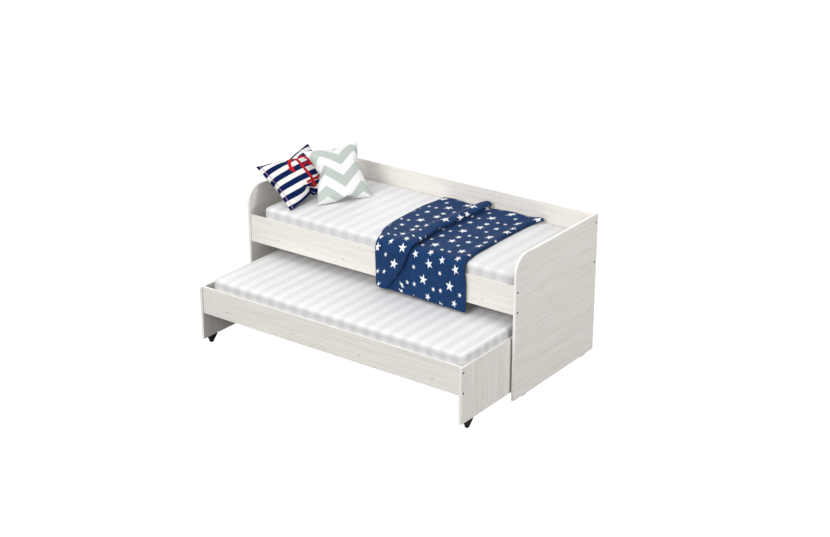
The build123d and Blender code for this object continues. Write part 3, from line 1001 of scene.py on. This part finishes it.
def makePillow(name, node, material, body, spec, neighbour=None):
    bm = sewnPanels(spec, pillowMaking)
    bm = blowUp(name, bm, pillowMaking)
    low, high = cornersOf(bm.verts)
    print(name, "blown up to", [round(b - a, 3) for a, b in zip(low, high)])
    swell = (*spec["swell"], 1.0)
    sides = (spec["width"], spec["depth"], spec["thickness"])
    fit = [side * more / (b - a) for side, more, a, b in zip(sides, swell, low, high)]
    bmesh.ops.scale(bm, vec=fit, verts=bm.verts)
    for vert in bm.verts:
        vert.co.x *= 1.0 - spec["slump"] * vert.co.y / (spec["depth"] / 2)  # wider at the foot
        across, up = 2 * vert.co.x / spec["width"], 2 * vert.co.y / spec["depth"]
        upper, lower = spec["fuller"]
        middle = max(0.0, 1 - abs(across)) ** pillowMaking["letOut"]
        vert.co.y += middle * up * abs(up) * (upper if up > 0 else lower)
        vert.co.xy += (max(0.0, -across) * max(0.0, up)) ** 2 * Vector(spec["ear"])
    pose = Matrix.Rotation(math.radians(90 - spec["turn"]), 4, "Z")
    pose = pose @ Matrix.Rotation(math.radians(spec["lean"]), 4, "X")
    pose = pose @ Matrix.Rotation(math.radians(spec["roll"]), 4, "Z")
    bmesh.ops.transform(bm, matrix=pose, verts=bm.verts)
    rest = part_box("upper_mattress")[1][2] + mattressCover["proud"] + pillowMaking["restGap"]
    drop = rest - spec["sink"] - min(vert.co.z for vert in bm.verts)
    bmesh.ops.translate(bm, vec=(*spec["centre"], drop), verts=bm.verts)
    if neighbour:
        pressOff(bm, BVHTree.FromBMesh(neighbour), pillowMaking)
    for vert in bm.verts:
        vert.co.z = max(vert.co.z, rest)
    bmesh.ops.recalc_face_normals(bm, faces=bm.faces)
    if bm.calc_volume(signed=True) < 0:
        bmesh.ops.reverse_faces(bm, faces=bm.faces)
    bm.normal_update()
    shape = bm.copy()
    piece = newPiece(name, bm, material, body)
    soften(piece)
    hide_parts(node)
    return shape


def finishCanvas(tree, shader, colour, along, across, spec):
    worn = noiseField(tree, objectSpace(tree), (60.0, 60.0, 60.0), 3.0, 0.6)
    worn = rampBetween(tree, worn, 0.35, 0.75, 0.0, spec["worn"])
    colour = mixColours(tree, worn, colour, spec["wornTo"])
    tree.links.new(colour, shader.inputs["Base Color"])
    woven = weave(tree, along, across, canvasWeave["threads"])
    addBump(tree, shader, woven, canvasWeave["bump"], canvasWeave["depth"])


def ringMask(tree, x, y, centre, radius, half):
    left = calc(tree, "SUBTRACT", x, centre[0])
    up = calc(tree, "SUBTRACT", y, centre[1])
    off = gapFrom(tree, reachOf(tree, left, up), radius)
    return rampBetween(tree, off, half + printBlur, half - printBlur)


def barMask(tree, x, y, centre, halfWide, halfTall):
    left = calc(tree, "SUBTRACT", gapFrom(tree, x, centre[0]), halfWide)
    up = calc(tree, "SUBTRACT", gapFrom(tree, y, centre[1]), halfTall)
    return rampBetween(tree, calc(tree, "MAXIMUM", left, up), printBlur, -printBlur)


def anchorMask(tree, along, across, place, size):
    x = calc(tree, "DIVIDE", calc(tree, "SUBTRACT", along, place[0]), size)
    y = calc(tree, "DIVIDE", calc(tree, "SUBTRACT", place[1], across), size)  # the arms point up
    ring = ringMask(tree, x, y, (0.0, 0.088), 0.014, 0.0050)
    shank = barMask(tree, x, y, (0.0, 0.0), 0.0075, 0.074)
    stock = barMask(tree, x, y, (0.0, 0.054), 0.036, 0.0060)
    arms = ringMask(tree, x, y, (0.0, -0.018), 0.060, 0.0080)
    arms = calc(tree, "MULTIPLY", arms, rampBetween(tree, y, -0.0320, -0.0330))
    side = calc(tree, "ABSOLUTE", x)
    reach = calc(tree, "MULTIPLY", calc(tree, "SUBTRACT", -0.004, y), 0.55)
    lean = calc(tree, "SUBTRACT", gapFrom(tree, side, 0.056), reach)
    fluke = rampBetween(tree, lean, printBlur, -printBlur)
    fluke = calc(tree, "MULTIPLY", fluke, rampBetween(tree, y, -0.0365, -0.0355))
    rope = ringMask(tree, x, y, (0.022, 0.016), 0.040, 0.0045)
    rope = calc(tree, "MULTIPLY", rope, rampBetween(tree, x, -0.0010, 0.0010))
    mask = ring
    for part in (shank, stock, arms, fluke, rope):
        mask = calc(tree, "MAXIMUM", mask, part)
    return mask


def makeStripedCanvas(name, spec):
    material, tree, shader = startMaterial(name, 0.90, **{"Sheen Weight": 0.010, "Specular IOR Level": 0.04})
    along, across = splitFlat(tree)
    share = calc(tree, "FRACT", calc(tree, "DIVIDE", across, spec["period"]))
    band = gapFrom(tree, share, 0.5)
    half = spec["navyShare"] / 2
    stripes = rampBetween(tree, band, half + spec["stripeBlur"], half - spec["stripeBlur"])
    colour = mixColours(tree, stripes, spec["cream"], spec["navy"])
    trim = calc(tree, "ADD", along, spec["width"] / 2 - spec["trimInset"])
    for side, thread in ((-1.0, "blue"), (1.0, "red")):
        line = barMask(tree, trim, across, (side * spec["trimGap"], 0.0), *spec["trimHalf"])
        colour = mixColours(tree, line, colour, spec[thread])
    anchor = anchorMask(tree, along, across, spec["anchor"], spec["anchorSize"])
    colour = mixColours(tree, anchor, colour, spec["red"])
    finishCanvas(tree, shader, colour, along, across, spec)
    return material


def makeZigzagCanvas(name, spec):
    material, tree, shader = startMaterial(name, 0.85, **{"Sheen Weight": 0.04, "Specular IOR Level": 0.15})
    along, across = splitFlat(tree)
    fromLeft = calc(tree, "ADD", along, spec["width"] / 2)
    fromTop = calc(tree, "SUBTRACT", spec["depth"] / 2, across)
    phase = calc(tree, "DIVIDE", calc(tree, "SUBTRACT", fromLeft, spec["firstPeak"]), spec["wave"])
    fold = gapFrom(tree, calc(tree, "FRACT", calc(tree, "ADD", phase, 0.5)), 0.5)
    dip = calc(tree, "MULTIPLY", fold, 2 * spec["swing"])  # 0 on a peak, the whole swing in a valley
    level = calc(tree, "SUBTRACT", calc(tree, "SUBTRACT", fromTop, dip), spec["firstEdge"])
    share = calc(tree, "FRACT", calc(tree, "DIVIDE", level, spec["period"]))
    band = gapFrom(tree, share, 0.25)  # white from 0 to a half
    white = rampBetween(tree, calc(tree, "MINIMUM", band, calc(tree, "SUBTRACT", 1.0, band)), 0.256, 0.244)
    colour = mixColours(tree, white, spec["grey"], spec["white"])
    finishCanvas(tree, shader, colour, along, across, spec)
    return material


stripedCanvas = makeStripedCanvas("stripedCanvas", stripedPillow)
zigzagCanvas = makeZigzagCanvas("zigzagCanvas", zigzagPillow)
stripedShape = makePillow(
    "stripedPillow", "striped_pillow", stripedCanvas, "upper_bed", stripedPillow,
)
makePillow(
    "zigzagPillow", "chevron_pillow", zigzagCanvas, "upper_bed", zigzagPillow, stripedShape,
)
print("pillows made")
